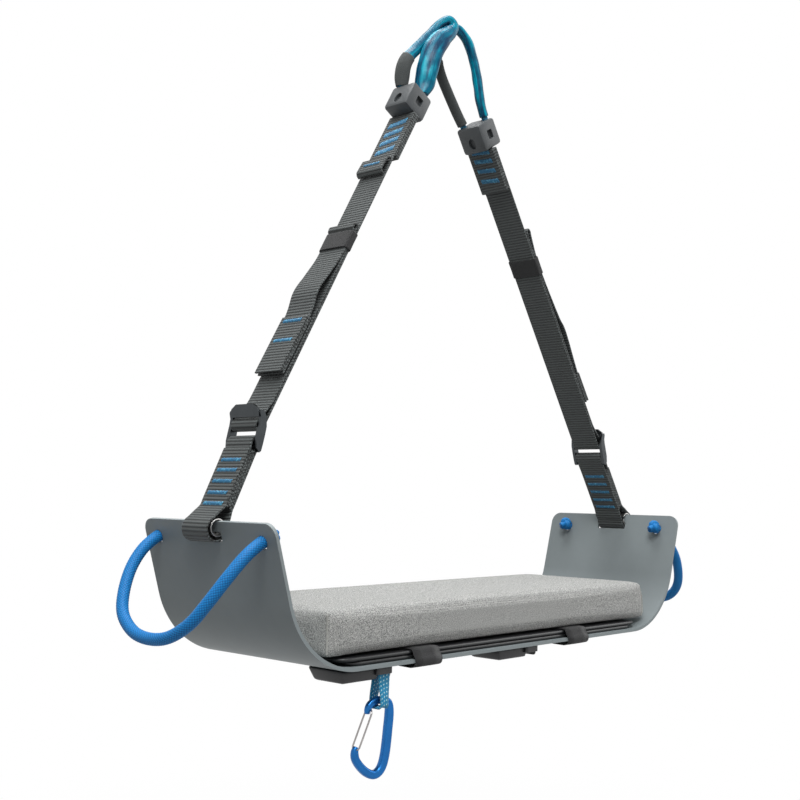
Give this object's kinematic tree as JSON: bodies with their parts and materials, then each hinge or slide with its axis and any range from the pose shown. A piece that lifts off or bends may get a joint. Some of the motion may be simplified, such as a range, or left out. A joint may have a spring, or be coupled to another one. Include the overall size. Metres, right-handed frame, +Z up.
{
  "type": "bosun chair",
  "caption": "Hanging work seat: bent metal pan with padded cushion, adjustable webbing straps, clear-sleeved eyes, rope handles, tool holders and an accessory carabiner.",
  "frame": {"origin": "the suspension point: inside the top bends of the two webbing eyes, where a connector's bar bears", "axes": "+Z up, +X along the seat, -Y is the front edge, which carries the tool holders and the carabiner"},
  "size_m": [0.9182, 0.2298, 0.9508],
  "materials": {
    "plate": "satin blue-grey plate with broken edges",
    "board": "black board",
    "cushion_fabric": "light heather-grey woven cloth",
    "dark_webbing": "dark grey woven tape",
    "guard_metal": "bare bright metal",
    "holder_plastic": "black moulded plastic",
    "blue_rope": "vivid blue braided rope",
    "strap_webbing": "dark grey ribbed webbing",
    "buckle_metal": "dark grey satin metal",
    "keeper_rubber": "grey moulded rubber",
    "blue_webbing": "blue woven tape",
    "clear_teal": "clear teal sleeve",
    "anodised_blue": "blue anodised, satin"
  },
  "bodies": {
    "seat": {"seat_pan": "plate", "base_board": "board", "cushion_backing": "board", "cushion": "cushion_fabric", "cushion_strap_left": "dark_webbing", "cushion_strap_right": "dark_webbing", "slot_guard_left": "guard_metal", "slot_guard_right": "guard_metal", "tool_holder_left": "holder_plastic", "tool_holder_centre": "holder_plastic", "holder_screw_1": "guard_metal", "holder_screw_2": "guard_metal", "holder_screw_3": "guard_metal", "holder_screw_4": "guard_metal", "rope_handle_left": "blue_rope", "rope_handle_right": "blue_rope", "rope_knot_left_front": "blue_rope", "rope_knot_left_back": "blue_rope", "rope_knot_right_front": "blue_rope", "rope_knot_right_back": "blue_rope"},
    "left_lower_strap": {"lower_webbing_left": "strap_webbing"},
    "right_lower_strap": {"lower_webbing_right": "strap_webbing"},
    "left_upper_strap": {"buckle_left": "buckle_metal", "adjustable_strap_left": "strap_webbing", "eye_keeper_left": "keeper_rubber", "eye_sling_left": "blue_webbing", "eye_guard_left": "dark_webbing", "eye_sleeve_left": "clear_teal"},
    "right_upper_strap": {"buckle_right": "buckle_metal", "adjustable_strap_right": "strap_webbing", "eye_keeper_right": "keeper_rubber", "eye_sling_right": "blue_webbing", "eye_guard_right": "dark_webbing", "eye_sleeve_right": "clear_teal"},
    "left_elastic": {"elastic_keeper_left": "dark_webbing"},
    "right_elastic": {"elastic_keeper_right": "dark_webbing"},
    "accessory_loop": {"accessory_loop": "blue_webbing"},
    "carabiner": {"carabiner_body": "anodised_blue"},
    "gate": {"wire_gate": "guard_metal"}
  },
  "joints": [
    {"name": "left_strap_swing", "type": "hinge", "parent": "seat", "child": "left_lower_strap", "pos_m": [-0.39233, 0, -0.66027], "axis": [0, -1, 0], "range_deg": [0, 100]},
    {"name": "right_strap_swing", "type": "hinge", "parent": "seat", "child": "right_lower_strap", "pos_m": [0.39233, 0, -0.66027], "axis": [0, 1, 0], "range_deg": [0, 100]},
    {"name": "left_buckle_swing", "type": "hinge", "parent": "left_lower_strap", "child": "left_upper_strap", "pos_m": [-0.3412, 0, -0.5669], "axis": [0, -1, 0], "range_deg": [0, 45]},
    {"name": "right_buckle_swing", "type": "hinge", "parent": "right_lower_strap", "child": "right_upper_strap", "pos_m": [0.3267, 0, -0.5659], "axis": [0, 1, 0], "range_deg": [0, 45]},
    {"name": "left_elastic_slide", "type": "slide", "parent": "left_upper_strap", "child": "left_elastic", "axis": [0.5019, 0, 0.8649], "range_m": [-0.008, 0]},
    {"name": "right_elastic_slide", "type": "slide", "parent": "right_upper_strap", "child": "right_elastic", "axis": [-0.5264, 0, 0.8502], "range_m": [-0.008, 0]},
    {"name": "accessory_loop_swing", "type": "hinge", "parent": "seat", "child": "accessory_loop", "pos_m": [-0.22, -0.0975, -0.8201], "axis": [1, 0, 0], "range_deg": [-20, 20]},
    {"name": "carabiner_swing", "type": "hinge", "parent": "accessory_loop", "child": "carabiner", "pos_m": [-0.22, -0.0975, -0.8498], "axis": [0.9903, -0.1392, 0], "range_deg": [-60, 60]},
    {"name": "gate_opening", "type": "hinge", "parent": "carabiner", "child": "gate", "pos_m": [-0.25783, -0.09218, -0.8993], "axis": [0.1392, 0.9903, 0], "range_deg": [0, 25], "stiffness_Nm_per_rad": 0.03, "springref_deg": -17.19}
  ]
}
